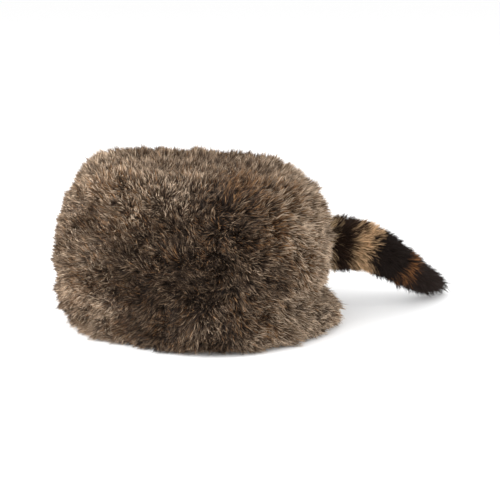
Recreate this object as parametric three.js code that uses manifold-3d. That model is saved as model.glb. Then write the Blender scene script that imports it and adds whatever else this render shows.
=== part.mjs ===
// A round fur hat with a ringed tail, in millimetres, +Z up. It rests on its rim, with its front at -X and its
// tail at +X. The pelts stand in a wall round the head and in a disc over it, and the fur grows outwards from them.
import * as THREE from "three";
import { mergeVertices } from "three/addons/utils/BufferGeometryUtils.js";
import Module from "manifold-3d";

const wasm = await Module();
wasm.setup();

// Driving sizes of the hat
const HEAD_LENGTH = 196; // head opening, front to back
const HEAD_WIDTH = 168; // head opening, side to side
const HEAD_DEPTH = 122; // rim to the underside of the crown
const PELT = 3; // pelt with its turned and sewn edge
const SIDE_FUR = 21; // dense underfur on the side band
const CROWN_FUR = 19; // dense underfur on the crown
const LOCK_RISE = 10.5; // guard-hair locks stand this far out of the underfur
const LOCK_SPACING = 14; // from tip to tip along a row; the next row stands half of this further on
const LOCK_LEAN = 8; // tips hang this far beyond their roots
const LOCK_STRAY = 0.4; // a lock stands aside by up to this share of half its spacing
const LOCK_VARIETY = 0.35; // the shortest lock is this share shorter than the longest
const CROWN_FALL = 5; // the fur over the crown stands this much higher at the front and lower at the back
const SEAM_GAP = 0.35; // between pieces that are sewn together
const SEAM_SLOPE = 42; // degrees by which the fur parts upwards from the crown seam

// Driving sizes of the tail
const TAIL_LENGTH = 178; // along the middle, from the pelt to the last tuft
const TAIL_WIDTH = 33; // core of the tail, under its locks
const TAIL_HEIGHT = 71; // middle of the tail's root above the rim
const TAIL_SIDE = 7; // degrees round the hat from the back to the root
const TAIL_SWEEP = 38; // degrees by which the tail turns towards +Y along its length
const TAIL_LOCK_RISE = 7; // locks stand this far out of the tail's core
const TAIL_LOCK_LEAN = 9; // tips hang this far beyond their roots
const TAIL_LOCK_SPACING = 13; // from tip to tip round the tail
const MOST_DROOP = 85; // degrees

// Fineness of the faceted surfaces
const SIDES_ROUND_WALL = 48;
const STEPS_ALONG_TAIL = 48;

// The wall round the head, from the rim up: height as a share of HEAD_DEPTH, reaches as shares of half of
// HEAD_LENGTH and half of HEAD_WIDTH. The back flares at the rim, dents under the tail and leans in at the top.
const WALL_SECTIONS = [
  { height: 0.0, front: 0.99, back: 1.05, side: 1.0 },
  { height: 0.12, front: 0.99, back: 1.02, side: 1.01 },
  { height: 0.28, front: 1.03, back: 0.87, side: 1.01 },
  { height: 0.5, front: 1.05, back: 0.91, side: 1.01 },
  { height: 0.75, front: 1.01, back: 0.89, side: 1.0 },
  { height: 1.0, front: 0.95, back: 0.81, side: 0.97 },
];

// The surface of the underfur, from the rim to the middle of the crown: height as a share of the underfur's top,
// fur as a share of SIDE_FUR outside the wall, plan as a share of the wall's plan.
const FUR_PROFILE = [
  { height: 0.0, fur: 0.28, plan: 1 },
  { height: 0.03, fur: 0.66, plan: 1 },
  { height: 0.1, fur: 0.95, plan: 1 },
  { height: 0.24, fur: 1.0, plan: 1 },
  { height: 0.4, fur: 1.0, plan: 1 },
  { height: 0.56, fur: 1.0, plan: 1 },
  { height: 0.72, fur: 0.98, plan: 1 },
  { height: 0.84, fur: 0.84, plan: 1 },
  { height: 0.93, fur: 0.52, plan: 1 },
  { height: 0.98, fur: 0.1, plan: 1 },
  { height: 1.0, fur: 0.0, plan: 0.86 },
  { height: 0.985, fur: 0.0, plan: 0.64 },
  { height: 0.97, fur: 0.0, plan: 0.36 },
  { height: 0.965, fur: 0.0, plan: 0.0 },
];

// Slow swells and dents of the soft fur: waves round the hat and along its profile, depth as a share of SIDE_FUR.
const SWELLS = [
  { round: 2, along: 0.5, phase: 0.6, depth: 0.05 },
  { round: 3, along: 0.9, phase: 2.1, depth: 0.06 },
  { round: 5, along: 1.3, phase: 4.0, depth: 0.05 },
];

// The core of the tail: width as a share of TAIL_WIDTH at a share of TAIL_LENGTH.
const TAIL_SECTIONS = [
  { along: 0.0, width: 1.02 },
  { along: 0.2, width: 1.2 },
  { along: 0.35, width: 1.15 },
  { along: 0.52, width: 0.98 },
  { along: 0.7, width: 0.84 },
  { along: 0.88, width: 0.66 },
  { along: 0.97, width: 0.42 },
];

const FUR_TOP = HEAD_DEPTH + PELT + CROWN_FUR;
const PLAN_SQUARENESS = 2.25; // 2 is an ellipse
const FAR = 4 * (HEAD_LENGTH + FUR_TOP); // larger than the hat, for cutting

const up = new THREE.Vector3(0, 0, 1);
const radians = THREE.MathUtils.degToRad;

// A value of a table's column, read by its leading column.
function readTable(table, key, column, at) {
  let i = 1;
  while (i < table.length - 1 && at > table[i][key]) i += 1;
  const [a, b] = [table[i - 1], table[i]];
  const share = THREE.MathUtils.clamp((at - a[key]) / (b[key] - a[key]), 0, 1);
  return THREE.MathUtils.lerp(a[column], b[column], share);
}

// Repeatable numbers from 0 to 1, one for each whole number.
function scatter(n) {
  const x = Math.sin(n * 127.1 + 11.7) * 43758.5453;
  return x - Math.floor(x);
}

function solidFrom(positions, index) {
  const geometry = new THREE.BufferGeometry();
  geometry.setAttribute("position", new THREE.Float32BufferAttribute(positions, 3));
  geometry.setIndex(index);
  const merged = mergeVertices(geometry, 1e-4);
  return new wasm.Manifold(
    new wasm.Mesh({
      numProp: 3,
      vertProperties: merged.attributes.position.array,
      triVerts: new Uint32Array(merged.index.array),
    }),
  );
}

// A closed solid over rings of points, from the lowest to the highest, that ends in a last point over the highest
// ring and in the middle of the lowest. Next rings may differ in their count. Where they don't, each square
// between them is split beside its locks' tips, which are every second point.
function skinOver(rings, last) {
  const starts = rings.map((_, r) => rings.slice(0, r).reduce((sum, ring) => sum + ring.length, 0));
  const first = rings[0].reduce((sum, p) => sum.add(p), new THREE.Vector3()).divideScalar(rings[0].length);
  const positions = [...rings.flat(), first, last].flatMap((p) => p.toArray());
  const [bottom, top] = [positions.length / 3 - 2, positions.length / 3 - 1];
  const index = [];
  rings.forEach((ring, r) => {
    const at = (i) => starts[r] + (i % ring.length);
    const over = rings[r + 1];
    if (r === 0) ring.forEach((_, i) => index.push(bottom, at(i + 1), at(i)));
    if (!over) ring.forEach((_, i) => index.push(top, at(i), at(i + 1)));
    if (!over) return;
    const above = (i) => starts[r + 1] + (i % over.length);
    let [i, j] = [0, 0];
    while (i < ring.length || j < over.length) {
      const lead = (i + 1) / ring.length - (j + 1) / over.length;
      const lower = Math.abs(lead) < 1e-9 ? isTip(i, r) : lead < 0;
      if (lower) index.push(at(i), at(i + 1), above(j));
      else index.push(at(i), above(j + 1), above(j));
      if (lower) i += 1;
      else j += 1;
    }
  });
  return solidFrom(positions, index);
}

function isTip(place, ring) {
  return (place + ring) % 2 === 0;
}

// A point of the wall round the head, or outside it by an offset, or inside it by a share of its plan.
function wallPoint(angle, z, offset = 0, plan = 1) {
  const share = THREE.MathUtils.clamp(z / HEAD_DEPTH, 0, 1);
  const reach = (column) => readTable(WALL_SECTIONS, "height", column, share);
  const along = (HEAD_LENGTH / 2) * (Math.cos(angle) < 0 ? reach("front") : reach("back"));
  const across = (HEAD_WIDTH / 2) * reach("side");
  const [c, s] = [Math.cos(angle), Math.sin(angle)];
  const square = (Math.abs(c) ** PLAN_SQUARENESS + Math.abs(s) ** PLAN_SQUARENESS) ** (-1 / PLAN_SQUARENESS);
  const outwards = new THREE.Vector2(c * across, s * along).normalize();
  const x = along * c * square * plan + outwards.x * offset;
  const y = across * s * square * plan + outwards.y * offset;
  return new THREE.Vector3(x, y, z);
}

function ringRound(z, offset) {
  return Array.from({ length: SIDES_ROUND_WALL }, (_, i) => {
    return wallPoint((i / SIDES_ROUND_WALL) * 2 * Math.PI, z, offset);
  });
}

// A solid drum whose side is the wall, moved outwards by an offset, from one height to another.
function drum(low, high, offset) {
  const inner = WALL_SECTIONS.map((row) => row.height * HEAD_DEPTH).filter((z) => z > low && z < high);
  return skinOver([low, ...inner, high].map((z) => ringRound(z, offset)), new THREE.Vector3(0, 0, high));
}

// A point of the underfur's surface. row counts the rows of FUR_PROFILE and may lie between two of them.
function furPoint(angle, row) {
  const i = THREE.MathUtils.clamp(Math.floor(row), 0, FUR_PROFILE.length - 2);
  const [a, b] = [FUR_PROFILE[i], FUR_PROFILE[i + 1]];
  const value = (column) => THREE.MathUtils.lerp(a[column], b[column], row - i);
  const swell = SWELLS.reduce((sum, wave) => {
    return sum + wave.depth * Math.sin(wave.round * angle + wave.along * row + wave.phase);
  }, 0);
  const onSide = value("fur");
  const offset = PELT * Math.min(1, value("plan") * value("plan")) + SIDE_FUR * onSide * (1 + swell);
  const point = wallPoint(angle, value("height") * FUR_TOP, offset, value("plan"));
  const over = value("height") ** 2;
  point.z += over * (SIDE_FUR * swell * (1 - onSide) - (CROWN_FALL * point.x) / (HEAD_LENGTH / 2));
  return point;
}

function furNormal(angle, row) {
  const [turn, step] = [0.03, 0.3];
  const low = THREE.MathUtils.clamp(row - step, 0, FUR_PROFILE.length - 1.3);
  const round = furPoint(angle + turn, low + step).sub(furPoint(angle - turn, low + step));
  const along = furPoint(angle, low + 2 * step > FUR_PROFILE.length - 1 ? low + step : low + 2 * step);
  const normal = round.cross(along.sub(furPoint(angle, low)));
  return normal.lengthSq() < 1e-6 ? up.clone() : normal.normalize();
}

// The lean of the hair: down the side band, outwards and back over the crown.
function leanAt(root, normal) {
  const outwards = new THREE.Vector3(root.x, root.y, 0).normalize();
  const down = new THREE.Vector3(0, 0, -1);
  const back = new THREE.Vector3(0.55, 0, 0);
  const lean = normal.z > 0.6 ? outwards.multiplyScalar(0.6).add(back) : down.addScaledVector(back, 0.5);
  return lean.addScaledVector(normal, -lean.dot(normal)).normalize();
}

// Rows of the underfur's surface half a lock's spacing apart, from the rim to near the middle of the crown.
function lockRows() {
  const fine = 40;
  const rows = [];
  let travelled = 0;
  let before = furPoint(Math.PI / 2, 0);
  for (let i = 1; i < (FUR_PROFILE.length - 1) * fine; i += 1) {
    const here = furPoint(Math.PI / 2, i / fine);
    travelled += here.distanceTo(before);
    before = here;
    if (travelled < ((rows.length + 1) * LOCK_SPACING) / 2) continue;
    if (Math.hypot(here.x, here.y) > LOCK_SPACING * 0.7) rows.push(i / fine);
  }
  return rows;
}

function girthOf(pointAt) {
  const ring = Array.from({ length: 36 }, (_, k) => pointAt((k / 18) * Math.PI));
  return ring.reduce((sum, p, k) => sum + p.distanceTo(ring[(k + 1) % ring.length]), 0);
}

// Points round a ring of the fur, two for each lock. The count stays the same from ring to ring until the girth
// calls for a fourth fewer, so that a tip stands over the gap between the two below it.
function pointsRound(row) {
  const widest = girthOf((angle) => furPoint(angle, FUR_PROFILE.length * 0.3));
  const fewer = Math.round(Math.log(girthOf((angle) => furPoint(angle, row)) / widest) / Math.log(0.75));
  return 2 * Math.max(3, Math.round((widest / LOCK_SPACING) * 0.75 ** Math.max(0, fewer)));
}

function furRing(row, step, ring) {
  const count = pointsRound(row);
  return Array.from({ length: count }, (_, k) => {
    const seed = ring * 211 + k;
    const angle = ((k + LOCK_STRAY * (scatter(seed) - 0.5)) / count) * 2 * Math.PI;
    const at = row + LOCK_STRAY * (scatter(seed + 0.3) - 0.5) * step;
    const point = furPoint(angle, at);
    if (!isTip(k, ring) || row === 0) return point;
    const normal = furNormal(angle, at);
    const lean = leanAt(point, normal);
    point.addScaledVector(normal, LOCK_RISE * (1 - LOCK_VARIETY * scatter(seed + 0.5)));
    point.addScaledVector(lean, LOCK_LEAN * (1 - LOCK_VARIETY * scatter(seed + 0.7)));
    point.z = Math.max(point.z, 0);
    return point;
  });
}

// The fur of the whole hat as one solid, with its locks.
function furBody() {
  const rows = [0, ...lockRows()];
  const rings = rows.map((row, r) => furRing(row, r ? row - rows[r - 1] : 0, r));
  return skinOver(rings, furPoint(0, FUR_PROFILE.length - 1));
}

// The crown's share of the space: over the wall's top, and over a slope that rises outwards from the seam.
function crownSpace(lift) {
  const seam = HEAD_DEPTH + lift;
  const rise = FAR * Math.tan(radians(SEAM_SLOPE));
  const top = seam + 2 * rise;
  const rings = [ringRound(seam, PELT), ringRound(seam + rise, PELT + FAR), ringRound(top, PELT + FAR)];
  return skinOver(rings, new THREE.Vector3(0, 0, top));
}

// The tail's middle line for a droop: points with their directions, from the pelt to the last tuft.
function tailLine(droop) {
  const point = wallPoint(radians(TAIL_SIDE), TAIL_HEIGHT);
  const line = [];
  for (let i = 0; i <= STEPS_ALONG_TAIL; i += 1) {
    const share = i / STEPS_ALONG_TAIL;
    const pitch = -radians(droop) * THREE.MathUtils.smoothstep(share, 0.08, 0.6);
    const yaw = radians(TAIL_SIDE + TAIL_SWEEP * THREE.MathUtils.smoothstep(share, 0.1, 0.9));
    const level = Math.cos(pitch);
    const way = new THREE.Vector3(level * Math.cos(yaw), level * Math.sin(yaw), Math.sin(pitch));
    line.push({ point: point.clone(), way });
    point.addScaledVector(way, TAIL_LENGTH / STEPS_ALONG_TAIL);
  }
  return line;
}

function placeOn(line, share) {
  const at = THREE.MathUtils.clamp(share, 0, 1) * STEPS_ALONG_TAIL;
  const i = Math.min(Math.floor(at), STEPS_ALONG_TAIL - 1);
  return {
    point: line[i].point.clone().lerp(line[i + 1].point, at - i),
    way: line[i].way.clone().lerp(line[i + 1].way, at - i).normalize(),
  };
}

// A ring across the tail: its core moved outwards by an extra, or with its locks, which lie towards its end.
function tailRing(line, share, ring, extra, tufted) {
  const { point, way } = placeOn(line, share);
  const side = new THREE.Vector3().crossVectors(way, up).normalize();
  const top = new THREE.Vector3().crossVectors(side, way).normalize();
  const radius = (TAIL_WIDTH / 2) * readTable(TAIL_SECTIONS, "along", "width", share);
  const count = 2 * Math.max(3, Math.round((2 * Math.PI * radius) / TAIL_LOCK_SPACING));
  return Array.from({ length: count }, (_, k) => {
    const seed = 9000 + ring * 53 + k;
    const angle = ((k + (tufted ? LOCK_STRAY * (scatter(seed) - 0.5) : 0)) / count) * 2 * Math.PI;
    const normal = side.clone().multiplyScalar(-Math.cos(angle)).addScaledVector(top, Math.sin(angle));
    const made = point.clone().addScaledVector(normal, radius + extra);
    if (!tufted || !isTip(k, ring)) return made;
    made.addScaledVector(normal, TAIL_LOCK_RISE * (1 - LOCK_VARIETY * scatter(seed + 0.5)));
    return made.addScaledVector(way, TAIL_LOCK_LEAN * (1 - LOCK_VARIETY * scatter(seed + 0.7)));
  });
}

// The tail stays smooth as far as the side band's longest hair reaches.
const TUFTS_FROM = (PELT + 1.2 * SIDE_FUR + LOCK_RISE) / TAIL_LENGTH;

function tailRings(line, until, extra, tufted) {
  const step = TAIL_LOCK_SPACING / 2 / TAIL_LENGTH;
  const shares = Array.from({ length: Math.floor(until / step) + 1 }, (_, i) => i * step);
  return shares.map((share, r) => tailRing(line, share, r, extra, tufted && share > TUFTS_FROM));
}

// The droop at which the tail's lowest lock comes to lie on what the hat stands on.
function restingDroop() {
  let [low, high] = [0, MOST_DROOP];
  for (let i = 0; i < 24; i += 1) {
    const droop = (low + high) / 2;
    const points = tailRings(tailLine(droop), TAIL_SECTIONS.at(-1).along, 0, true).flat();
    if (Math.min(...points.map((p) => p.z)) > 0) low = droop;
    else high = droop;
  }
  return low;
}

const tailRoute = tailLine(restingDroop());

function tailBody(until, extra, tufted) {
  return skinOver(tailRings(tailRoute, until, extra, tufted), placeOn(tailRoute, until).point);
}

function makeTail() {
  const seat = drum(0, HEAD_DEPTH, PELT + SEAM_GAP);
  return tailBody(TAIL_SECTIONS.at(-1).along, 0, true).subtract(seat);
}

function makeCrown() {
  return furBody().intersect(crownSpace(SEAM_GAP));
}

function makeSideBand() {
  const cavity = drum(-HEAD_DEPTH, HEAD_DEPTH + FAR, 0);
  const tailWay = tailBody(TUFTS_FROM + TAIL_LOCK_LEAN / TAIL_LENGTH, SEAM_GAP, false);
  const tailPocket = tailWay.subtract(drum(0, HEAD_DEPTH, PELT));
  return furBody().subtract(crownSpace(0)).subtract(cavity).subtract(tailPocket);
}

// The largest body of a solid: a lock that a cut has freed is no part of the hat.
function wholePiece(solid) {
  return solid.decompose().reduce((a, b) => (b.volume() > a.volume() ? b : a));
}

function geometryOf(solid) {
  const mesh = solid.getMesh();
  const geometry = new THREE.BufferGeometry();
  geometry.setAttribute("position", new THREE.BufferAttribute(mesh.vertProperties, 3));
  geometry.setIndex(new THREE.BufferAttribute(mesh.triVerts, 1));
  const flat = geometry.toNonIndexed();
  flat.computeVertexNormals();
  return flat;
}

const furColours = {
  crown: new THREE.MeshStandardMaterial({ color: 0x7a6a5a, roughness: 0.95, metalness: 0 }),
  side_band: new THREE.MeshStandardMaterial({ color: 0x5e4f42, roughness: 0.95, metalness: 0 }),
  tail: new THREE.MeshStandardMaterial({ color: 0x6f5039, roughness: 0.9, metalness: 0 }),
};

const hat = new THREE.Group();
for (const [name, solid] of [["crown", makeCrown()], ["side_band", makeSideBand()], ["tail", makeTail()]]) {
  const mesh = new THREE.Mesh(geometryOf(wholePiece(solid)), furColours[name]);
  mesh.name = name;
  hat.add(mesh);
}

// The origin goes to the middle of the outline's box, on the surface that the hat stands on.
const outline = new THREE.Box3().setFromObject(hat);
const middle = outline.getCenter(new THREE.Vector3());
for (const mesh of hat.children) mesh.position.set(-middle.x, -middle.y, -outline.min.z);

export default hat;
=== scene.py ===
"""A round fur hat with a ringed tail, in metres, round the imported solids.

The pelts are closed shells with a dense dark underfur, and with bare suede inside the hat. The guard hair
grows on them by one Geometry Nodes tree, which reads from each pelt how far its hair reaches, how it lies and
how light it is.
"""

import math

import bpy
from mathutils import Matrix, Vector, noise


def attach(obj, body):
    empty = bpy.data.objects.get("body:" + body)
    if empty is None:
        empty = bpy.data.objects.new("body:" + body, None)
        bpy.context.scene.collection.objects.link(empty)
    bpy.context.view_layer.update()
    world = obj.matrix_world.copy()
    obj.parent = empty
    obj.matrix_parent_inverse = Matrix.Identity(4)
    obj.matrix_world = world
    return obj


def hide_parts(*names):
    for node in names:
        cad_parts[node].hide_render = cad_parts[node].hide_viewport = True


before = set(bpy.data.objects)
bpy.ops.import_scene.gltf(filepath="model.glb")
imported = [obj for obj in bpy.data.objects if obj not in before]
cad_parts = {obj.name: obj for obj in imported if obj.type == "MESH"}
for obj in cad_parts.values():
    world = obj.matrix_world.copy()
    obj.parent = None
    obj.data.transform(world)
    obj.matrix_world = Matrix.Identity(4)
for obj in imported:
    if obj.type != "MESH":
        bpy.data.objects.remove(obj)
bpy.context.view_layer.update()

# Sizes of the pelts round the head, the same as their solids'
HEAD_LENGTH = 0.196  # head opening, front to back
HEAD_WIDTH = 0.168  # head opening, side to side
HEAD_DEPTH = 0.122  # rim to the underside of the crown
PELT = 0.003
PLAN_SQUARENESS = 2.25  # 2 is an ellipse

# Where the hat stands in the frame, and how its pelts and their hair depart from the solids
HAT_MIDDLE = Vector((-0.0507, 0.0009, 0.0))
SEAM_HALF_GAP = 0.0004  # each pelt stays this far from the crown seam
CROWN_FALL = 0.0085  # the hair over the crown is this much higher at the front and lower at the back

# Sizes of the tail. Its length, width and root are the same as its solid's
TAIL_LENGTH = 0.178
TAIL_WIDTH = 0.033
TAIL_HEIGHT = 0.071
TAIL_SIDE = math.radians(7)
TAIL_SWEEP = math.radians(38)
TAIL_DROOP = math.radians(30.6)
TAIL_TIP_LIFT = 0.25  # share of the droop that the end of the tail gives up again
DROOP_OVER = (0.08, 0.6)  # shares of its length over which the tail droops, turns aside and lifts again
SWEEP_OVER = (0.1, 0.9)
LIFT_OVER = (0.7, 1.0)
ROUNDED_OVER = (0.88, 1.0)  # and over which its end is rounded

# Sizes of the hair
HAIR_WIDTH = 0.00065
HAIRS_PER_M2 = 1.62e6
TAIL_HAIRS_PER_M2 = 1.85e6

# Fineness of the pelts
STEPS_ROUND = 144
STEPS_A_ROW = 5
TAIL_STEPS_ROUND = 32
TAIL_STEPS_ALONG = 60

# The wall round the head, from the rim up, as shares of the head's depth, half length and half width
WALL_COLUMNS = ("height", "front", "back", "side")
WALL_SECTIONS = [
    (0.0, 0.99, 1.05, 1.0),
    (0.12, 0.99, 1.02, 1.01),
    (0.28, 1.03, 0.87, 1.01),
    (0.5, 1.05, 0.91, 1.01),
    (0.75, 1.01, 0.89, 1.0),
    (1.0, 0.95, 0.81, 0.97),
]

# Roots and tips of the hair, from rim to crown: distance outside the wall, height and share of its plan
PILE_COLUMNS = ("out", "up", "plan", "tip_out", "tip_up", "tip_plan")
PILE = [
    (0.0030, 0.0020, 1.0, 0.0050, 0.0008, 1.0),
    (0.0085, 0.0022, 1.0, 0.0145, 0.0010, 1.0),
    (0.0170, 0.0045, 1.0, 0.0250, 0.0030, 1.0),
    (0.0220, 0.0125, 1.0, 0.0320, 0.0090, 1.0),
    (0.0240, 0.0285, 1.0, 0.0345, 0.0240, 1.0),
    (0.0240, 0.0530, 1.0, 0.0350, 0.0510, 1.0),
    (0.0240, 0.0800, 1.0, 0.0345, 0.0810, 1.0),
    (0.0225, 0.1045, 1.0, 0.0325, 0.1080, 1.0),
    (0.0190, 0.1230, 1.0, 0.0275, 0.1290, 1.0),
    (0.0122, 0.1335, 1.0, 0.0185, 0.1420, 1.0),
    (0.0015, 0.1400, 1.0, 0.0045, 0.1500, 1.0),
    (0.0000, 0.1430, 0.86, 0.0000, 0.1535, 0.87),
    (0.0000, 0.1432, 0.64, 0.0000, 0.1537, 0.65),
    (0.0000, 0.1425, 0.40, 0.0000, 0.1530, 0.41),
    (0.0000, 0.1420, 0.18, 0.0000, 0.1525, 0.19),
    (0.0000, 0.1420, 0.0, 0.0000, 0.1525, 0.01),
]
SEAM_ROW = 9  # where the crown meets the side band

# Slow swells of the pile: waves round the hat, how far they turn from row to row, phase and depth
SWELLS = [(2, 0.5, 0.6, 0.0011), (3, 0.9, 2.1, 0.0013), (5, 1.3, 4.0, 0.0011), (9, 1.9, 1.0, 0.0008)]

# How much further than at its sides the pile reaches at the hat's front, its back and its rounded corners
END_COLUMNS = ("up", "front", "back", "front_corners", "back_corners")
ENDS = [
    (0.0, 0.001, 0.006, -0.008, -0.005),
    (0.02, 0.002, -0.005, -0.012, -0.007),
    (0.032, 0.003, -0.010, -0.008, -0.003),
    (0.045, 0.004, -0.007, -0.003, 0.0),
    (0.060, 0.004, 0.001, 0.0, 0.0),
    (0.08, 0.003, 0.0, 0.0, 0.0),
    (0.105, 0.002, 0.0055, 0.0, 0.0),
    (0.125, -0.002, 0.0110, 0.0, 0.0),
    (0.14, -0.005, 0.0085, 0.0, 0.0),
    (0.15, -0.001, 0.0035, 0.0, 0.0),
]

# The core of the tail: width as a share of its width at a share of its length
TAIL_COLUMNS = ("along", "width")
TAIL_SECTIONS = [
    (0.0, 1.02),
    (0.2, 1.2),
    (0.35, 1.15),
    (0.52, 0.98),
    (0.7, 0.84),
    (0.88, 0.66),
    (0.97, 0.42),
]


def clamp(value, low=0.0, high=1.0):
    return max(low, min(high, value))


def smooth(value, low, high):
    share = clamp((value - low) / (high - low))
    return share * share * (3 - 2 * share)


def read_table(rows, columns, name, at):
    """A column's value where the leading column holds at."""
    column = columns.index(name)
    place = 1
    while place < len(rows) - 1 and at > rows[place][0]:
        place += 1
    a, b = rows[place - 1], rows[place]
    share = clamp((at - a[0]) / (b[0] - a[0]))
    return a[column] + (b[column] - a[column]) * share


def wall_point(angle, height, out=0.0, plan=1.0):
    """A point of the wall round the head, or outside it, or inside it by a share of its plan."""
    share = clamp(height / HEAD_DEPTH)
    c, s = math.cos(angle), math.sin(angle)
    ends = read_table(WALL_SECTIONS, WALL_COLUMNS, "front" if c < 0 else "back", share)
    along = HEAD_LENGTH / 2 * ends
    across = HEAD_WIDTH / 2 * read_table(WALL_SECTIONS, WALL_COLUMNS, "side", share)
    square = (abs(c) ** PLAN_SQUARENESS + abs(s) ** PLAN_SQUARENESS) ** (-1 / PLAN_SQUARENESS)
    outwards = Vector((c * across, s * along)).normalized()
    x = along * c * square * plan + outwards.x * out
    y = across * s * square * plan + outwards.y * out
    return HAT_MIDDLE + Vector((x, y, height))


def pile_ends(angle, row):
    """Root and tip of the hair that stands at an angle round the hat, on a row of PILE or between two.

    Where the pile is lower its roots go back too, as far as the pelt lets them, so the hair keeps its length.
    """
    place = min(int(row), len(PILE) - 2)
    share = row - place
    value = {
        name: PILE[place][i] + (PILE[place + 1][i] - PILE[place][i]) * share
        for i, name in enumerate(PILE_COLUMNS)
    }
    swell = 0.0
    for turns, along, phase, depth in SWELLS:
        swell += depth * math.sin(turns * angle + along * row + phase)
    root = wall_point(angle, value["up"], value["out"], value["plan"])
    tip = wall_point(angle, value["tip_up"], value["tip_out"], value["tip_plan"])
    facing = "front" if math.cos(angle) < 0 else "back"
    end = read_table(ENDS, END_COLUMNS, facing, value["tip_up"])
    corner = read_table(ENDS, END_COLUMNS, facing + "_corners", value["tip_up"])
    further = value["plan"] * (swell + end * math.cos(angle) ** 2 + corner * math.sin(2 * angle) ** 2)
    room = max(0.0, value["out"] - PELT, value["up"] - HEAD_DEPTH - PELT)
    back = max(min(further, 0.0), -room)
    way = (tip - root).normalized()
    root += way * back
    tip += way * (back + max(further, 0.0))
    for point, up in ((root, value["up"]), (tip, value["tip_up"])):
        over = clamp(up / HEAD_DEPTH) ** 2
        point.z -= over * CROWN_FALL * (point.x - HAT_MIDDLE.x) / (HEAD_LENGTH / 2)
    return root, tip


def tail_line():
    """Points of the tail's middle line with their directions, from the pelt to the last tuft."""
    point = wall_point(TAIL_SIDE, TAIL_HEIGHT)
    line = []
    for step in range(TAIL_STEPS_ALONG + 1):
        share = step / TAIL_STEPS_ALONG
        pitch = -TAIL_DROOP * (smooth(share, *DROOP_OVER) - TAIL_TIP_LIFT * smooth(share, *LIFT_OVER))
        yaw = TAIL_SIDE + TAIL_SWEEP * smooth(share, *SWEEP_OVER)
        level = math.cos(pitch)
        way = Vector((level * math.cos(yaw), level * math.sin(yaw), math.sin(pitch)))
        line.append((share, point.copy(), way))
        point += way * (TAIL_LENGTH / TAIL_STEPS_ALONG)
    return line


class Net:
    """A node tree whose nodes are made from their type, their settings and what goes into their sockets."""

    def __init__(self, tree):
        self.tree = tree

    def node(self, kind, settings=None, inputs=None, out=0):
        made = self.tree.nodes.new(kind)
        for name, value in (settings or {}).items():
            if name == "stops":
                self.set_stops(made.color_ramp, value)
            else:
                setattr(made, name, value)
        for name, value in (inputs or {}).items():
            self.feed(made.inputs[name], value)
        return Value(self, made.outputs[out]) if len(made.outputs) else made

    def feed(self, socket, value):
        if isinstance(value, Value):
            self.tree.links.new(value.socket, socket)
        else:
            socket.default_value = value

    def set_stops(self, ramp, stops):
        while len(ramp.elements) > 1:
            ramp.elements.remove(ramp.elements[-1])
        for place, (position, colour) in enumerate(stops):
            stop = ramp.elements[0] if place == 0 else ramp.elements.new(position)
            stop.position = position
            stop.color = (*colour, 1.0)

    def sum(self, operation, *terms):
        """A Math node on numbers, or a Vector Math node where a term is a vector."""
        vectors = [is_vector(term) for term in terms]
        if any(vectors):
            if operation == "MULTIPLY" and not all(vectors):
                vector, scale = terms if vectors[0] else reversed(terms)
                return self.node("ShaderNodeVectorMath", {"operation": "SCALE"}, {0: vector, "Scale": scale})
            inputs = {i: t if is_vector(t) else (t, t, t) for i, t in enumerate(terms)}
            return self.node("ShaderNodeVectorMath", {"operation": operation}, inputs)
        return self.node("ShaderNodeMath", {"operation": operation}, dict(enumerate(terms)))

    def vector(self, x, y, z=0.0):
        return self.node("ShaderNodeCombineXYZ", {}, {0: x, 1: y, 2: z})

    def cross(self, a, b):
        return self.node("ShaderNodeVectorMath", {"operation": "CROSS_PRODUCT"}, {0: a, 1: b})

    def unit(self, a):
        return self.node("ShaderNodeVectorMath", {"operation": "NORMALIZE"}, {0: a})


def is_vector(term):
    return isinstance(term, Vector) or isinstance(term, Value) and term.is_vector


class Value:
    """An output socket that takes part in sums."""

    def __init__(self, net, socket):
        self.net = net
        self.socket = socket

    @property
    def is_vector(self):
        return self.socket.type == "VECTOR"

    def part(self, place):
        """The x, y or z of a vector, by its place."""
        return self.net.node("ShaderNodeSeparateXYZ", {}, {0: self}, out=place)

    def __add__(self, other):
        return self.net.sum("ADD", self, other)

    def __radd__(self, other):
        return self.net.sum("ADD", other, self)

    def __sub__(self, other):
        return self.net.sum("SUBTRACT", self, other)

    def __rsub__(self, other):
        return self.net.sum("SUBTRACT", other, self)

    def __mul__(self, other):
        return self.net.sum("MULTIPLY", self, other)

    def __rmul__(self, other):
        return self.net.sum("MULTIPLY", other, self)

    def __rtruediv__(self, other):
        return self.net.sum("DIVIDE", other, self)

    def __pow__(self, other):
        return self.net.sum("POWER", self, other)

    def clamped(self, low=0.0, high=1.0):
        return self.net.sum("MINIMUM", self.net.sum("MAXIMUM", self, low), high)

    def above(self, edge):
        return self.net.sum("GREATER_THAN", self, edge)

    def dot(self, other):
        settings = {"operation": "DOT_PRODUCT"}
        return self.net.node("ShaderNodeVectorMath", settings, {0: self, 1: other}, out="Value")

    def sine(self):
        return self.net.sum("SINE", self)


def new_material(name):
    made = bpy.data.materials.new(name)
    made.use_nodes = True
    made.node_tree.nodes.clear()
    return made, Net(made.node_tree)


def finish_material(net, inputs):
    shader = net.node("ShaderNodeBsdfPrincipled", {}, inputs)
    net.node("ShaderNodeOutputMaterial", {}, {"Surface": shader})


# Sockets of a Mix node that blends colours
MIX_SHARE, MIX_LOW, MIX_HIGH, MIX_RESULT = 0, 6, 7, 2


def blend_colours(net, share, low, high):
    inputs = {MIX_SHARE: share, MIX_LOW: low, MIX_HIGH: high}
    return net.node("ShaderNodeMix", {"data_type": "RGBA"}, inputs, out=MIX_RESULT)


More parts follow.
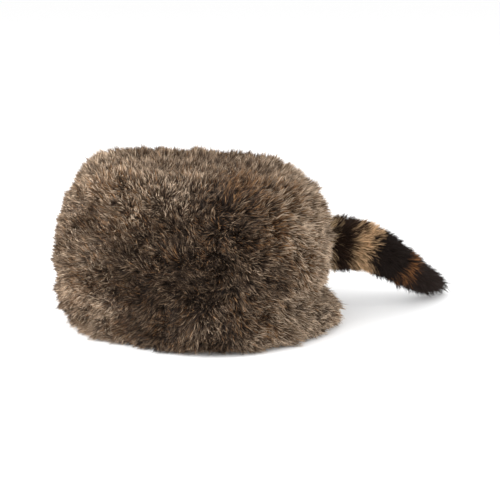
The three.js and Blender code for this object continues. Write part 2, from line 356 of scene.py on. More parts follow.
# The UV map that the hair is coloured by: across it runs the kind of hair, up it runs root to tip
HAIR_MAP = "OFBake"
MAP_MARGIN = 0.02  # this much of the map's height stays free above the tips and below the roots
KIND_MARGIN = 0.01  # and this much of its width at each side
ONE_HAIR = 0.004  # how wide half a hair is on the map
RUST_FROM = 0.82  # kinds of hair from here on are rusty brown
RUST_SPAN = 0.16

# Colours of the hat's hair, from the darkest kind to the lightest and then the rusty ones
HAT_TIPS = [
    (0.0, (0.015, 0.0080, 0.0042)),
    (0.22, (0.062, 0.034, 0.018)),
    (0.42, (0.186, 0.121, 0.073)),
    (0.60, (0.382, 0.270, 0.178)),
    (0.78, (0.695, 0.538, 0.386)),
    (RUST_FROM, (0.140, 0.066, 0.027)),
    (1.0, (0.400, 0.215, 0.095)),
]
HAT_ROOTS = [
    (0.0, (0.0070, 0.0037, 0.0021)),
    (0.3, (0.018, 0.0100, 0.0058)),
    (0.78, (0.075, 0.051, 0.034)),
    (RUST_FROM, (0.036, 0.016, 0.007)),
    (1.0, (0.090, 0.040, 0.015)),
]

# The tail's rings: where each starts, and the colour of its hair
TAIL_RINGS = [
    (0.0, (0.720, 0.510, 0.290)),
    (0.225, (0.030, 0.015, 0.009)),
    (0.351, (0.700, 0.455, 0.252)),
    (0.432, (0.011, 0.0062, 0.0047)),
    (0.699, (0.320, 0.135, 0.045)),
    (0.730, (0.018, 0.0105, 0.0083)),
]
RING_FADE = 0.012
TAIL_ROOT_SHADE = (0.014, 0.009, 0.006, 1.0)
TAIL_ROOT_DEPTH = 0.85  # how far a tail hair's root turns to that shade

# Where along a hair its root's colour starts to turn to its tip's, and how fast
HAT_TIP_FROM, HAT_TIP_RATE = 0.38, 2.4
TAIL_TIP_FROM, TAIL_TIP_RATE = 0.2, 1.9


def ramp(net, stops, at):
    return net.node("ShaderNodeValToRGB", {"stops": stops}, {0: at})


def read_map(net):
    """The kind of a hair and the place along it."""
    at = net.node("ShaderNodeUVMap", {"uv_map": HAIR_MAP})
    return at.part(0), at.part(1)


def hat_hair_material():
    made, net = new_material("hat_guard_hair")
    kind, along = read_map(net)
    lightness = ((along - HAT_TIP_FROM) * HAT_TIP_RATE).clamped()
    colour = blend_colours(net, lightness, ramp(net, HAT_ROOTS, kind), ramp(net, HAT_TIPS, kind))
    finish_material(net, {"Base Color": colour, "Roughness": 0.7, "Specular IOR Level": 0.25})
    return made


def tail_hair_material():
    made, net = new_material("tail_guard_hair")
    kind, along = read_map(net)
    stops = [TAIL_RINGS[0]]
    for (_, before), (start, colour) in zip(TAIL_RINGS, TAIL_RINGS[1:]):
        stops += [(start - RING_FADE, before), (start + RING_FADE, colour)]
    tips = ramp(net, stops, kind)
    roots = blend_colours(net, TAIL_ROOT_DEPTH, tips, TAIL_ROOT_SHADE)
    colour = blend_colours(net, ((along - TAIL_TIP_FROM) * TAIL_TIP_RATE).clamped(), roots, tips)
    finish_material(net, {"Base Color": colour, "Roughness": 0.7, "Specular IOR Level": 0.12})
    return made


# Colours of the underfur and the suede: dark, light and how many mottles there are to a metre
HAT_UNDERFUR = ((0.010, 0.007, 0.005), (0.04, 0.026, 0.017), 140.0)
TAIL_UNDERFUR = ((0.012, 0.008, 0.005), (0.03, 0.02, 0.012), 160.0)
SUEDE = ((0.30, 0.21, 0.135), (0.44, 0.325, 0.22), 90.0)
MOTTLE_CONTRAST = 1.8
GRAINS_A_MOTTLE = 6


def matt_material(name, dark, light, mottles):
    """Dense wool or suede: fine mottling and bump on the object's own coordinates."""
    made, net = new_material(name)
    place = net.node("ShaderNodeTexCoord", out="Object")
    mottle = net.node("ShaderNodeTexNoise", {}, {"Vector": place, "Scale": mottles, "Detail": 4.0})
    fine_inputs = {"Vector": place, "Scale": mottles * GRAINS_A_MOTTLE, "Detail": 2.0}
    fine = net.node("ShaderNodeTexNoise", {}, fine_inputs)
    share = ((mottle - 0.5) * MOTTLE_CONTRAST + 0.5).clamped()
    colour = blend_colours(net, share, (*dark, 1.0), (*light, 1.0))
    bump = net.node("ShaderNodeBump", {}, {"Strength": 0.6, "Distance": 0.001, "Height": fine})
    finish_material(net, {"Base Color": colour, "Roughness": 0.95, "Specular IOR Level": 0.1, "Normal": bump})
    return made


def mesh_object(name, points, faces, material=None):
    mesh = bpy.data.meshes.new(name)
    mesh.from_pydata([tuple(p) for p in points], [], faces)
    mesh.validate()
    made = bpy.data.objects.new(name, mesh)
    bpy.context.scene.collection.objects.link(made)
    if material:
        mesh.materials.append(material)
    for polygon in mesh.polygons:
        polygon.use_smooth = True
    return made


def grid_faces(rings, count, closed=True):
    faces = []
    for ring in range(rings - 1):
        for i in range(count if closed else count - 1):
            a, b = ring * count + i, ring * count + (i + 1) % count
            faces.append((a, b, b + count, a + count))
    return faces


def note_on(carrier, name, values):
    """Writes one value for each point of a pelt, which the hair reads."""
    vector = isinstance(values[0], Vector)
    layer = carrier.data.attributes.new(name, "FLOAT_VECTOR" if vector else "FLOAT", "POINT")
    flat = [part for value in values for part in value] if vector else values
    layer.data.foreach_set("vector" if vector else "value", flat)


# One hair of unit length: places across it and along it, from its root to its tip
BLADE_POINTS = [(0.0, 0.0), (-1.0, 0.42), (1.0, 0.42), (-0.75, 0.76), (0.75, 0.76), (0.0, 1.0)]
BLADE_FACES = [(0, 2, 1), (1, 2, 4, 3), (3, 4, 5)]


def hair_blade():
    """One flat hair, a point at both ends, with its place across and along it noted."""
    points = [Vector((across, 0, along)) for across, along in BLADE_POINTS]
    blade = mesh_object("hair_blade", points, BLADE_FACES)
    note_on(blade, "across", [across for across, _ in BLADE_POINTS])
    note_on(blade, "along", [along for _, along in BLADE_POINTS])
    return blade


# What the tree that grows hair is given, with the hat's sizes
FUR_INPUTS = [
    ("Hairs per m2", "NodeSocketFloat", HAIRS_PER_M2),
    ("Hair Width", "NodeSocketFloat", HAIR_WIDTH),
    ("Shortest", "NodeSocketFloat", 0.7),
    ("Tuft Size", "NodeSocketFloat", 0.014),
    ("Tuft Lean", "NodeSocketFloat", 0.0075),
    ("Wisp Size", "NodeSocketFloat", 0.004),
    ("Wisp Lean", "NodeSocketFloat", 0.005),
    ("Stray", "NodeSocketFloat", 0.0028),
    ("Curl", "NodeSocketFloat", 0.0008),
    ("Droop", "NodeSocketFloat", 0.16),
    ("Clump Size", "NodeSocketFloat", 0.0036),
    ("Clump", "NodeSocketFloat", 0.5),
    ("Kind Spread", "NodeSocketFloat", 0.70),
    ("Wisp Kind", "NodeSocketFloat", 0.14),
    ("Wisp Dullness", "NodeSocketFloat", 0.12),
    ("Last Kind", "NodeSocketFloat", 0.78),
    ("Dull Share", "NodeSocketFloat", 0.45),
    ("Rust Share", "NodeSocketFloat", 0.045),
    ("Seed", "NodeSocketInt", 1),
    ("Blade", "NodeSocketObject", None),
    ("Hair", "NodeSocketMaterial", None),
]

# What a pelt and the tree note for each hair, and as what. It is taken off the finished mesh
FUR_NOTES = {
    "root": "FLOAT_VECTOR",
    "reach": "FLOAT_VECTOR",
    "lay": "FLOAT_VECTOR",
    "chance": "FLOAT_VECTOR",
    "other_chance": "FLOAT_VECTOR",
    "along": "FLOAT",
    "across": "FLOAT",
    "kind": "FLOAT",
    "rust": "FLOAT",
}

FIRST_DRAW, SECOND_DRAW = 101, 202
NOISE_SPAN = 3.2  # noise keeps near the middle of its range, so it is spread by this much
WISPS_ASIDE = Vector((0.31, 0.17, 0.53))  # wisps read the noise elsewhere than tufts do
EVEN = Vector((0.5, 0.5, 0.5))  # the middle of what is drawn by chance
CURL_TURN = 7.0  # radians of a hair's wave from its root to its tip
CURL_STARTS = 6.283  # radians over which the hairs' waves start, a whole turn
LOOSEST_HAIR = 0.4  # a hair is drawn to its clump by this share at the least
DULLEST = 0.05  # the tip of the dullest hair is coloured as the root this far up it
FLOOR_GAP = 0.0004  # hair that would sink into the floor lies this far over it
FLOOR_LAYER = 0.0016  # or up to this much higher


def noted(net, name, kind):
    return net.node("GeometryNodeInputNamedAttribute", {"data_type": kind}, {"Name": name})


def note(net, geometry, name, value, kind="FLOAT_VECTOR", domain="POINT"):
    settings = {"data_type": kind, "domain": domain}
    inputs = {"Geometry": geometry, "Name": name, "Value": value}
    return net.node("GeometryNodeStoreNamedAttribute", settings, inputs)


def chance(net, seed):
    """What is drawn for each hair, from 0 to 1 each way."""
    inputs = {0: (0.0, 0.0, 0.0), 1: (1.0, 1.0, 1.0), "Seed": seed}
    return net.node("FunctionNodeRandomValue", {"data_type": "FLOAT_VECTOR"}, inputs)


def wander(net, place, grain):
    """Noise that hairs close together share, from about -1 to 1 each way."""
    inputs = {"Vector": place * (1 / grain), "Scale": 1.0, "Detail": 1.0}
    cloud = net.node("ShaderNodeTexNoise", {}, inputs, out="Color")
    spread = {0: cloud, 1: (NOISE_SPAN,) * 3, 2: (-NOISE_SPAN / 2,) * 3}
    return net.node("ShaderNodeVectorMath", {"operation": "MULTIPLY_ADD"}, spread)


def middle_of_clump(net, place, grain):
    inputs = {"Vector": place * (1 / grain), "Scale": 1.0}
    middle = net.node("ShaderNodeTexVoronoi", {"feature": "F1"}, inputs, out="Position")
    return middle * grain


def blades_on_pelt(net, size):
    """A blade at each point that is scattered on the pelt, with its root and what is drawn for it noted."""
    scattered = {"Mesh": size["Geometry"], "Density": size["Hairs per m2"], "Seed": size["Seed"]}
    points = net.node("GeometryNodeDistributePointsOnFaces", {"distribute_method": "RANDOM"}, scattered)
    points = note(net, points, "root", net.node("GeometryNodeInputPosition"))
    points = note(net, points, "chance", chance(net, size["Seed"] + FIRST_DRAW))
    points = note(net, points, "other_chance", chance(net, size["Seed"] + SECOND_DRAW))
    blade = net.node("GeometryNodeObjectInfo", {}, {"Object": size["Blade"]}, out="Geometry")
    blades = net.node("GeometryNodeInstanceOnPoints", {}, {"Points": points, "Instance": blade})
    return net.node("GeometryNodeRealizeInstances", {}, {"Geometry": blades})


def hair_in_place(net, size, hair):
    """Where each point of a hair lies: bent with its tuft and wisp, drawn to its clump, off the floor."""
    root, reach, along = hair["root"], hair["reach"], hair["along"]
    first, second = hair["chance"], hair["other_chance"]
    straight = net.unit(reach)
    length = size["Shortest"] + (1 - size["Shortest"]) * first.part(0)
    tuft = wander(net, root, size["Tuft Size"]) * size["Tuft Lean"]
    wisp = hair["wisp"] * size["Wisp Lean"]
    own = (second - EVEN) * (size["Stray"] * 2)
    facing = net.unit(net.cross(straight, first - EVEN))
    wave = net.unit(net.cross(straight, facing))
    turn = (along * CURL_TURN + first.part(1) * CURL_STARTS).sine() * along * size["Curl"]
    bend = along**2
    place = root + reach * (length * (along - bend * size["Droop"]))
    place = place + (hair["lay"] + tuft + wisp + own) * (bend * length)
    aside = middle_of_clump(net, root, size["Clump Size"]) - root
    aside = aside - straight * aside.dot(straight)
    gather = size["Clump"] * (LOOSEST_HAIR + (1 - LOOSEST_HAIR) * second.part(2)) * bend
    place = place + aside * gather
    place = place + wave * turn + facing * (hair["across"] * size["Hair Width"] * 0.5)
    lowest = FLOOR_GAP + second.part(1) * FLOOR_LAYER
    return net.vector(place.part(0), place.part(1), net.sum("MAXIMUM", place.part(2), lowest))


def hair_on_map(net, size, hair):
    """Where each point of a hair lies on the map: across by its kind, and up by its place along the hair."""
    first, second, wisp = hair["chance"], hair["other_chance"], hair["wisp"]
    shade = hair["kind"] + (second.part(0) - 0.5) * size["Kind Spread"]
    shade = (shade + wisp.part(1) * size["Wisp Kind"]).clamped(KIND_MARGIN, size["Last Kind"])
    rusty = (1 - first.part(2)).above(1 - size["Rust Share"] * hair["rust"])
    kind = shade * (1 - rusty) + (RUST_FROM + KIND_MARGIN + second.part(0) * RUST_SPAN) * rusty
    dulled = 1 - size["Dull Share"] * first.part(1) + size["Wisp Dullness"] * wisp.part(2)
    up = hair["along"] * dulled.clamped(DULLEST, 1.0) * (1 - 2 * MAP_MARGIN) + MAP_MARGIN
    return net.vector(kind + hair["across"] * ONE_HAIR, up)


def fur_tree():
    """The tree that grows hair: a blade on each point of the pelt, bent and coloured by what is noted."""
    tree = bpy.data.node_groups.new("guard_hair", "GeometryNodeTree")
    tree.is_modifier = True
    tree.interface.new_socket("Geometry", in_out="INPUT", socket_type="NodeSocketGeometry")
    for name, kind, value in FUR_INPUTS:
        socket = tree.interface.new_socket(name, in_out="INPUT", socket_type=kind)
        if value is not None:
            socket.default_value = value
    tree.interface.new_socket("Geometry", in_out="OUTPUT", socket_type="NodeSocketGeometry")
    net = Net(tree)
    given = net.node("NodeGroupInput").socket.node
    size = {socket.name: Value(net, socket) for socket in given.outputs if socket.name}
    hair = {name: noted(net, name, kind) for name, kind in FUR_NOTES.items()}
    hair["wisp"] = wander(net, hair["root"] + WISPS_ASIDE, size["Wisp Size"])
    place, on_map = hair_in_place(net, size, hair), hair_on_map(net, size, hair)
    hairs = blades_on_pelt(net, size)
    hairs = net.node("GeometryNodeSetPosition", {}, {"Geometry": hairs, "Position": place})
    hairs = note(net, hairs, HAIR_MAP, on_map, kind="FLOAT2", domain="CORNER")
    hairs = net.node("GeometryNodeSetMaterial", {}, {"Geometry": hairs, "Material": size["Hair"]})
    net.node("NodeGroupOutput", {}, {"Geometry": hairs})
    return tree


BLADE = hair_blade()
FUR = fur_tree()


def grow(carrier, name, material, seed, sizes=None):
    """The hair of one pelt as a plain mesh. The pelt that it grew on is taken away."""
    modifier = carrier.modifiers.new("fur", "NODES")
    modifier.node_group = FUR
    keys = {item.name: item.identifier for item in FUR.interface.items_tree if item.in_out == "INPUT"}
    given = {"Seed": seed, "Blade": BLADE, "Hair": material, **(sizes or {})}
    for key, value in given.items():
        modifier[keys[key]] = value
    graph = bpy.context.evaluated_depsgraph_get()
    mesh = bpy.data.meshes.new_from_object(carrier.evaluated_get(graph))
    for spare in [a.name for a in mesh.attributes if a.name in FUR_NOTES]:
        mesh.attributes.remove(mesh.attributes[spare])
    bpy.data.objects.remove(carrier)
    mesh.name = name
    made = bpy.data.objects.new(name, mesh)
    bpy.context.scene.collection.objects.link(made)
    return made


MOTTLING_ASIDE = (1.0, 0.7, 1.3)  # where a seed has the noise read, in seeds along each axis


def mottling(point, grain, seed):
    """Slow noise over the hat, from -1 to 1."""
    return noise.noise(point / grain + Vector([seed * part for part in MOTTLING_ASIDE]))


# Where the hair parts on the sides and on the crown, how wide each parting is and how far the tips lie aside
PARTING_X = -0.028
PARTING_WIDTH = 0.02
SIDE_LAY = 0.0045
SIDE_FALL = 0.002
FRONT_LIFT = 0.0055  # the front half's tips rise by this much, above the rim's flare
CROWN_PARTING_X = -0.075
CROWN_PARTING_WIDTH = 0.07
CROWN_LAY = (0.005, 0.0025)  # away from the parting and to the far side
LIFT_FADES = (-0.2, 1.0)  # how far to the front of the parting the lift sets in
LIFT_HEIGHTS = (0.035, 0.075)  # and at which heights
SIDE_TO_CROWN = (0.35, 0.75)  # how upright the hair is where the crown's lay takes over

# How light the hat's hair is, as its kind: at the middle of the sides, and how much lighter elsewhere, partly
# by painted light
SIDE_KIND = 0.34
# The hat's ends are lighter partly in tone and partly by painted light, standing in for the grazing light at
# the ends
TONE_AND_PAINTED_LIGHT_AT_ENDS = 0.25
# The rim is lighter: a lighter fringe, and painted light over the floor's shadow there
FRINGE_AND_PAINTED_LIGHT_AT_RIM = 0.16
# Painted light on the crown's top, where the light falls from above
PAINTED_LIGHT_ON_CROWN = 0.05
ENDS_OVER = (0.045, 0.125)  # distance from the hat's middle over which the ends turn lighter
RIM_OVER = (0.002, 0.014)  # heights between which the rim's lighter fringe and its painted light end
CROWN_OVER = (0.85, 0.98)  # how upright the hair is where the crown's painted light sets in
DARKEST_KIND, LIGHTEST_KIND = 0.08, 0.72

# Mottles of the hair's kind: depth, grain and seed
MOTTLES = [(0.15, 0.03, 3.1), (0.08, 0.012, 7.7)]

# How much of the hair is rusty, as a multiple of the tree's share: mean, variety, grain, seed, least and most
RUST_MEAN, RUST_VARIETY = 1.2, 3.6
RUST_GRAIN, RUST_SEED = 0.022, 11.3
RUST_LEAST, RUST_MOST = 0.2, 4.0

# The patches lie on the near side only, and set in over this distance from the hat's middle
PATCHES_OVER = (0.02, 0.06)

# Patches of darker and lighter hair, partly tone and partly painted shade where the fur is deep and painted
# light over the floor's shadow: place along and up, radius and how much lighter
TONE_AND_PAINTED_SHADING_PATCHES = [
    ((-0.025, 0.132), 0.017, -0.22),
    ((-0.018, 0.100), 0.017, -0.15),
    ((-0.040, 0.092), 0.022, -0.11),
    ((0.012, 0.088), 0.018, 0.10),
    ((0.032, 0.148), 0.022, -0.20),
    ((-0.099, 0.060), 0.022, -0.20),
    ((-0.137, 0.072), 0.019, 0.13),
    ((-0.090, 0.024), 0.014, -0.12),
    ((-0.025, 0.012), 0.024, -0.10),
    ((-0.020, 0.048), 0.016, -0.10),
    ((0.015, 0.061), 0.021, -0.14),
    ((-0.078, 0.132), 0.019, 0.15),
    ((-0.099, 0.108), 0.014, 0.12),
    ((0.028, 0.110), 0.018, 0.23),
    ((0.014, 0.035), 0.017, 0.15),
    ((0.012, 0.010), 0.020, 0.20),
    ((0.040, 0.140), 0.018, -0.14),
    ((-0.165, 0.066), 0.018, -0.10),
    ((-0.135, 0.025), 0.026, 0.24),
    ((-0.140, 0.108), 0.016, -0.10),
    ((-0.145, 0.133), 0.018, 0.14),
    ((0.055, 0.085), 0.033, 0.17),
    ((-0.120, 0.152), 0.030, 0.18),
]

# Patches where brown hair shows among the grey: place, radius and how much more of it
BROWN_PATCHES = [
    ((0.031, 0.143), 0.015, 20.0),
    ((-0.015, 0.139), 0.018, 9.0),
    ((0.015, 0.103), 0.017, 8.0),
    ((0.044, 0.077), 0.017, 7.0),
    ((-0.128, 0.138), 0.014, 6.0),
    ((-0.100, 0.118), 0.014, 4.0),
    ((0.068, 0.095), 0.014, 4.0),
    ((0.005, 0.032), 0.012, 6.0),
    ((-0.150, 0.055), 0.016, 5.0),
    ((-0.110, 0.020), 0.012, 4.0),
]


def in_patches(root, patches):
    """What the near side's patches add up to at a root."""
    near = smooth(HAT_MIDDLE.y - root.y, *PATCHES_OVER)
    total = 0.0
    for (x, z), radius, change in patches:
        distance = Vector((root.x - x, root.z - z)).length / radius
        total += change * math.exp(-(distance**2))
    return near * total


def hat_lay(root, tip):
    """How the tips lie aside: away from the parting on each side of the hat, and from the crown's."""
    outwards = (tip - root).normalized()
    apart = math.tanh((root.x - PARTING_X) / PARTING_WIDTH)
    lifted = FRONT_LIFT * smooth(-apart, *LIFT_FADES) * smooth(root.z, *LIFT_HEIGHTS)
    on_side = Vector((SIDE_LAY * apart, 0, lifted - SIDE_FALL))
    over_crown = math.tanh((root.x - CROWN_PARTING_X) / CROWN_PARTING_WIDTH)
    on_crown = Vector((CROWN_LAY[0] * over_crown, CROWN_LAY[1], 0))
    lay = on_side.lerp(on_crown, smooth(outwards.z, *SIDE_TO_CROWN))
    return lay - outwards * lay.dot(outwards)


def hat_kind(root, tip):
    """How light the hair is: lighter at the ends, the rim and the crown, partly by painted light, with
    patches of tone, painted shade and painted light, and mottles.
    """
    shade = SIDE_KIND + TONE_AND_PAINTED_LIGHT_AT_ENDS * smooth(abs(root.x - HAT_MIDDLE.x), *ENDS_OVER)
    shade += FRINGE_AND_PAINTED_LIGHT_AT_RIM * (1 - smooth(root.z, *RIM_OVER))
    shade += PAINTED_LIGHT_ON_CROWN * smooth((tip - root).normalized().z, *CROWN_OVER)
    shade += in_patches(root, TONE_AND_PAINTED_SHADING_PATCHES)
    shade += sum(depth * mottling(root, grain, seed) for depth, grain, seed in MOTTLES)
    return clamp(shade, DARKEST_KIND, LIGHTEST_KIND)


def hat_rust(root):
    """How much of the hair is rusty brown."""
    share = RUST_MEAN + RUST_VARIETY * mottling(root, RUST_GRAIN, RUST_SEED)
    return clamp(share, RUST_LEAST, RUST_MOST) + in_patches(root, BROWN_PATCHES)


def hat_carrier(angles, rows):
    """A stretch of pelt for hair to grow on, with its notes."""
    ends = [pile_ends(angle, row) for row in rows for angle in angles]
    faces = grid_faces(len(rows), len(angles), closed=False)
    carrier = mesh_object("pelt_for_hair", [root for root, _ in ends], faces)
    note_on(carrier, "reach", [tip - root for root, tip in ends])
    note_on(carrier, "lay", [hat_lay(root, tip) for root, tip in ends])
    note_on(carrier, "kind", [hat_kind(root, tip) for root, tip in ends])
    note_on(carrier, "rust", [hat_rust(root) for root, _ in ends])
    return carrier


def steps(low, high, count):
    return [low + (high - low) * i / count for i in range(count + 1)]


def all_round(count):
    return [2 * math.pi * i / count for i in range(count)]


def finish_piece(piece, node):
    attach(piece, "root")
    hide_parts(node)


hat_hair = hat_hair_material()
tail_hair = tail_hair_material()
hat_wool = matt_material("hat_underfur", *HAT_UNDERFUR)
tail_wool = matt_material("tail_underfur", *TAIL_UNDERFUR)
suede = matt_material("pelt_suede", *SUEDE)


MIDDLE_ROW = len(PILE) - 1
SHELL_STEPS_A_ROW = 3
LINING_STEPS = 12
RIM_EDGE = 0.0015  # the suede starts this far above the rim
CROWN_SHELL_STEPS = 14
LAST_RING = 0.05  # the crown's last ring lies this far from its middle, in rows
LINING_PLANS = (0.05, 0.35, 0.7, 1.0)  # rings of the crown's suede, as shares of the wall's plan


def pelt_shell(name, points, faces, in_suede):
    """A closed pelt: underfur all over, with suede on the faces that are given."""
    shell = mesh_object(name, points, faces, hat_wool)
    shell.data.materials.append(suede)
    for index in in_suede:
        shell.data.polygons[index].material_index = 1
    return shell


def underfur_rings(rows):
    return [[pile_ends(angle, row)[0] for angle in all_round(STEPS_ROUND)] for row in rows]


def wall_ring(height, out=0.0, plan=1.0):
    return [wall_point(angle, height, out, plan) for angle in all_round(STEPS_ROUND)]


def band_shell():
    """The side band's pelt with its underfur: suede inside, wool outside, turned over at the rim."""
    top = HEAD_DEPTH - SEAM_HALF_GAP
    outer = underfur_rings(steps(0, SEAM_ROW, SEAM_ROW * SHELL_STEPS_A_ROW))
    lining = [wall_ring(height) for height in steps(top, RIM_EDGE, LINING_STEPS)]
    rings = outer + [wall_ring(top, PELT)] + lining
    faces = grid_faces(len(rings), STEPS_ROUND)
    last = (len(rings) - 1) * STEPS_ROUND
    for i in range(STEPS_ROUND):
        j = (i + 1) % STEPS_ROUND
        faces.append((last + i, last + j, j, i))
    in_suede = range(len(outer) * STEPS_ROUND, len(faces))
    return pelt_shell("side_band_pelt", [p for ring in rings for p in ring], faces, in_suede)


def crown_shell():
    """The crown's pelt with its underfur, a dished disc over the wall."""
    bottom = HEAD_DEPTH + SEAM_HALF_GAP
    outer = underfur_rings(steps(SEAM_ROW, MIDDLE_ROW - LAST_RING, CROWN_SHELL_STEPS))
    under = [wall_ring(bottom, PELT * plan, plan) for plan in LINING_PLANS]
    rings = under + outer
    points = [p for ring in rings for p in ring]
    points += [HAT_MIDDLE + Vector((0, 0, bottom)), pile_ends(0, MIDDLE_ROW)[0]]
    middle_below, middle_above = len(points) - 2, len(points) - 1
    last = (len(rings) - 1) * STEPS_ROUND
    faces = grid_faces(len(rings), STEPS_ROUND)
    in_suede = list(range((len(under) - 1) * STEPS_ROUND))
    for i in range(STEPS_ROUND):
        j = (i + 1) % STEPS_ROUND
        in_suede.append(len(faces))
        faces.append((middle_below, j, i))
        faces.append((last + i, last + j, middle_above))
    return pelt_shell("crown_pelt", points, faces, in_suede)


finish_piece(band_shell(), "side_band")
finish_piece(crown_shell(), "crown")

# The hat's hair, in parts: name, the angle in degrees at which each starts, and its seed
BAND_PARTS = [("back", -45, 21), ("far_side", 45, 22), ("front", 135, 23), ("near_side", 225, 24)]
CROWN_PARTS = [("front", 90, 31), ("back", 270, 32)]


def grow_parts(node, parts, first_row, last_row):
    """The hair of one of the hat's pelts, an equal part of the way round at a time."""
    turn = 360 // len(parts)
    rows = steps(first_row, last_row, (last_row - first_row) * STEPS_A_ROW)
    for part, start, seed in parts:
        angles = [math.radians(a) for a in steps(start, start + turn, STEPS_ROUND // len(parts))]
        hair = grow(hat_carrier(angles, rows), node + "_hair_" + part, hat_hair, seed)
        finish_piece(hair, node)


grow_parts("side_band", BAND_PARTS, 0, SEAM_ROW)
grow_parts("crown", CROWN_PARTS, SEAM_ROW, MIDDLE_ROW)

TAIL_PELT_DEPTH = 0.006  # the tail's underfur lies this far inside its core

# How far the tail's hair reaches above, below and ahead of its core, at a share of its length
TAIL_PILE_COLUMNS = ("along", "above", "below", "forward")
TAIL_PILE = [
    (0.0, 0.0110, 0.0090, 0.013),
    (0.2, 0.0115, 0.0090, 0.013),
    (0.35, 0.0105, 0.0035, 0.014),
    (0.5, 0.0075, 0.0050, 0.015),
    (0.65, 0.0045, 0.0085, 0.015),
    (0.8, 0.0030, 0.0060, 0.017),
    (1.0, 0.0020, 0.0020, 0.032),
]
# A hair belongs to the ring that lies this far ahead of its root, as a share of the tail
HAIR_AHEAD = 0.1

# How much further along the tail its rings lie above and below than at its sides
BOW_COLUMNS = ("along", "above", "below")
RING_BOWS = [
    (0.15, 0.040, 0.045),
    (0.30, 0.062, 0.04),
    (0.38, 0.066, 0.11),
    (0.42, 0.066, 0.10),
    (0.52, 0.055, 0.0),
    (0.60, 0.060, -0.04),
]

# The tail's hair where it differs from the hat's
TAIL_HAIR_SIZES = {
    "Hairs per m2": TAIL_HAIRS_PER_M2,
    "Tuft Lean": 0.003,
    "Wisp Lean": 0.003,
    "Stray": 0.0025,
    "Clump": 0.7,
    "Clump Size": 0.005,
    "Droop": 0.08,
    "Kind Spread": 0.09,
    "Wisp Kind": 0.02,
    "Wisp Dullness": 0.4,
    "Last Kind": 0.99,
    "Dull Share": 0.55,
}
TAIL_LAY = Vector((0, 0, -0.0008))
TAIL_SEED = 41
THINNEST_TAIL = 0.0008  # radius of its pelt at the very end
TAIL_SHELL_FROM, TAIL_HAIR_FROM = 0.03, 0.12  # shares of its length at which its pelt and its hair start


def tail_rings(first):
    """Rings of the tail's pelt, each with its share of the tail, its way and the normals of its points."""
    rings = []
    for share, point, way in tail_line():
        if share >= first:
            side = way.cross(Vector((0, 0, 1))).normalized()
            top = side.cross(way).normalized()
            wide = TAIL_WIDTH / 2 * read_table(TAIL_SECTIONS, TAIL_COLUMNS, "width", share)
            rounded = math.sqrt(max(0.0, 1 - smooth(share, *ROUNDED_OVER) ** 2))
            radius = max(THINNEST_TAIL, (wide - TAIL_PELT_DEPTH) * rounded)
            normals = [side * -math.cos(turn) + top * math.sin(turn) for turn in all_round(TAIL_STEPS_ROUND)]
            rings.append((share, way, normals, [point + normal * radius for normal in normals]))
    return rings


def tail_shell():
    """The tail's pelt with its underfur, closed at both ends."""
    rings = tail_rings(TAIL_SHELL_FROM)
    faces = grid_faces(len(rings), TAIL_STEPS_ROUND)
    last = (len(rings) - 1) * TAIL_STEPS_ROUND
    faces.append(tuple(reversed(range(TAIL_STEPS_ROUND))))
    faces.append(tuple(last + i for i in range(TAIL_STEPS_ROUND)))
    return mesh_object("tail_pelt", [p for *_, points in rings for p in points], faces, tail_wool)


def tail_carrier():
    """The stretch of the tail that hair grows on, with its notes. A hair's kind is its place in the rings."""
    rings = tail_rings(TAIL_HAIR_FROM)
    faces = grid_faces(len(rings), TAIL_STEPS_ROUND)
    carrier = mesh_object("pelt_for_hair", [p for *_, points in rings for p in points], faces)
    reach, kinds = [], []
    for share, way, normals, _ in rings:
        above, below, forward = (
            read_table(TAIL_PILE, TAIL_PILE_COLUMNS, name, share) for name in TAIL_PILE_COLUMNS[1:]
        )
        for normal in normals:
            rise = below + (above - below) * (1 + normal.z) / 2
            reach.append(normal * (TAIL_PELT_DEPTH + rise) + way * forward)
            bow = read_table(RING_BOWS, BOW_COLUMNS, "above" if normal.z > 0 else "below", share)
            kind = share + HAIR_AHEAD - bow * normal.z**2
            kinds.append(clamp(kind, KIND_MARGIN, 1 - KIND_MARGIN))
    note_on(carrier, "reach", reach)
    note_on(carrier, "lay", [TAIL_LAY for _ in reach])
    note_on(carrier, "kind", kinds)
    note_on(carrier, "rust", [0.0 for _ in reach])
    return carrier


finish_piece(tail_shell(), "tail")
finish_piece(grow(tail_carrier(), "tail_hair", tail_hair, TAIL_SEED, TAIL_HAIR_SIZES), "tail")
bpy.data.objects.remove(BLADE)

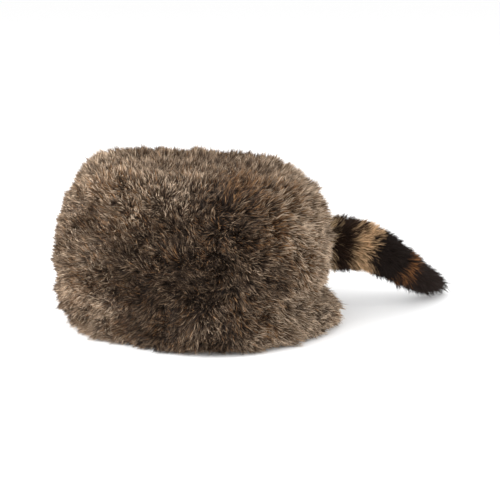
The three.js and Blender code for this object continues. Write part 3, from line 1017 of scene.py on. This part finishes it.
# The camera, at the photo's angle
CAMERA_DISTANCE = 1.106
CAMERA_ANGLE = math.radians(14)  # above level
CAMERA_LENS, CAMERA_SENSOR = 85, 36  # millimetres
AIM = Vector((-0.005, 0, 0.068))

# The floor and the light
FLOOR_HALF = 15  # half of the floor's side
FLOOR_COLOUR = (0.94, 0.94, 0.94, 1.0)
WHITE = (1.0, 1.0, 1.0, 1.0)
SKY_STRENGTH = 1.05

# Lamps: name, place, size and power
LAMPS = [
    ("key", (-0.7, -1.3, 1.4), 1.2, 12.5),
    ("left", (-1.7, -0.6, 0.5), 1.2, 74.0),
    ("right", (1.7, -0.4, 0.5), 1.2, 26.0),
    ("over", (0.0, 0.3, 1.8), 1.8, 5.0),
]


def studio():
    corners = [Vector((x, y, 0)) * FLOOR_HALF for x, y in ((-1, -1), (1, -1), (1, 1), (-1, 1))]
    made, net = new_material("pale_floor")
    finish_material(net, {"Base Color": FLOOR_COLOUR, "Roughness": 0.95, "Specular IOR Level": 0.05})
    mesh_object("floor", corners, [(0, 1, 2, 3)], made)
    world = bpy.data.worlds.new("studio")
    bpy.context.scene.world = world
    world.use_nodes = True
    sky = world.node_tree.nodes["Background"]
    sky.inputs["Color"].default_value = WHITE
    sky.inputs["Strength"].default_value = SKY_STRENGTH
    for name, place, size, power in LAMPS:
        lamp = bpy.data.lights.new(name, "AREA")
        lamp.size = size
        lamp.energy = power
        holder = bpy.data.objects.new(name, lamp)
        holder.location = place
        holder.rotation_euler = (AIM - Vector(place)).to_track_quat("-Z", "Y").to_euler()
        bpy.context.scene.collection.objects.link(holder)


def camera():
    made = bpy.data.cameras.new("photo_camera")
    made.lens = CAMERA_LENS
    made.sensor_width = CAMERA_SENSOR
    holder = bpy.data.objects.new("photo_camera", made)
    back = Vector((0, -math.cos(CAMERA_ANGLE), math.sin(CAMERA_ANGLE)))
    holder.location = AIM + back * CAMERA_DISTANCE
    holder.rotation_euler = (-back).to_track_quat("-Z", "Y").to_euler()
    bpy.context.scene.collection.objects.link(holder)
    bpy.context.scene.camera = holder


studio()
camera()
bpy.context.scene.view_settings.view_transform = "Standard"
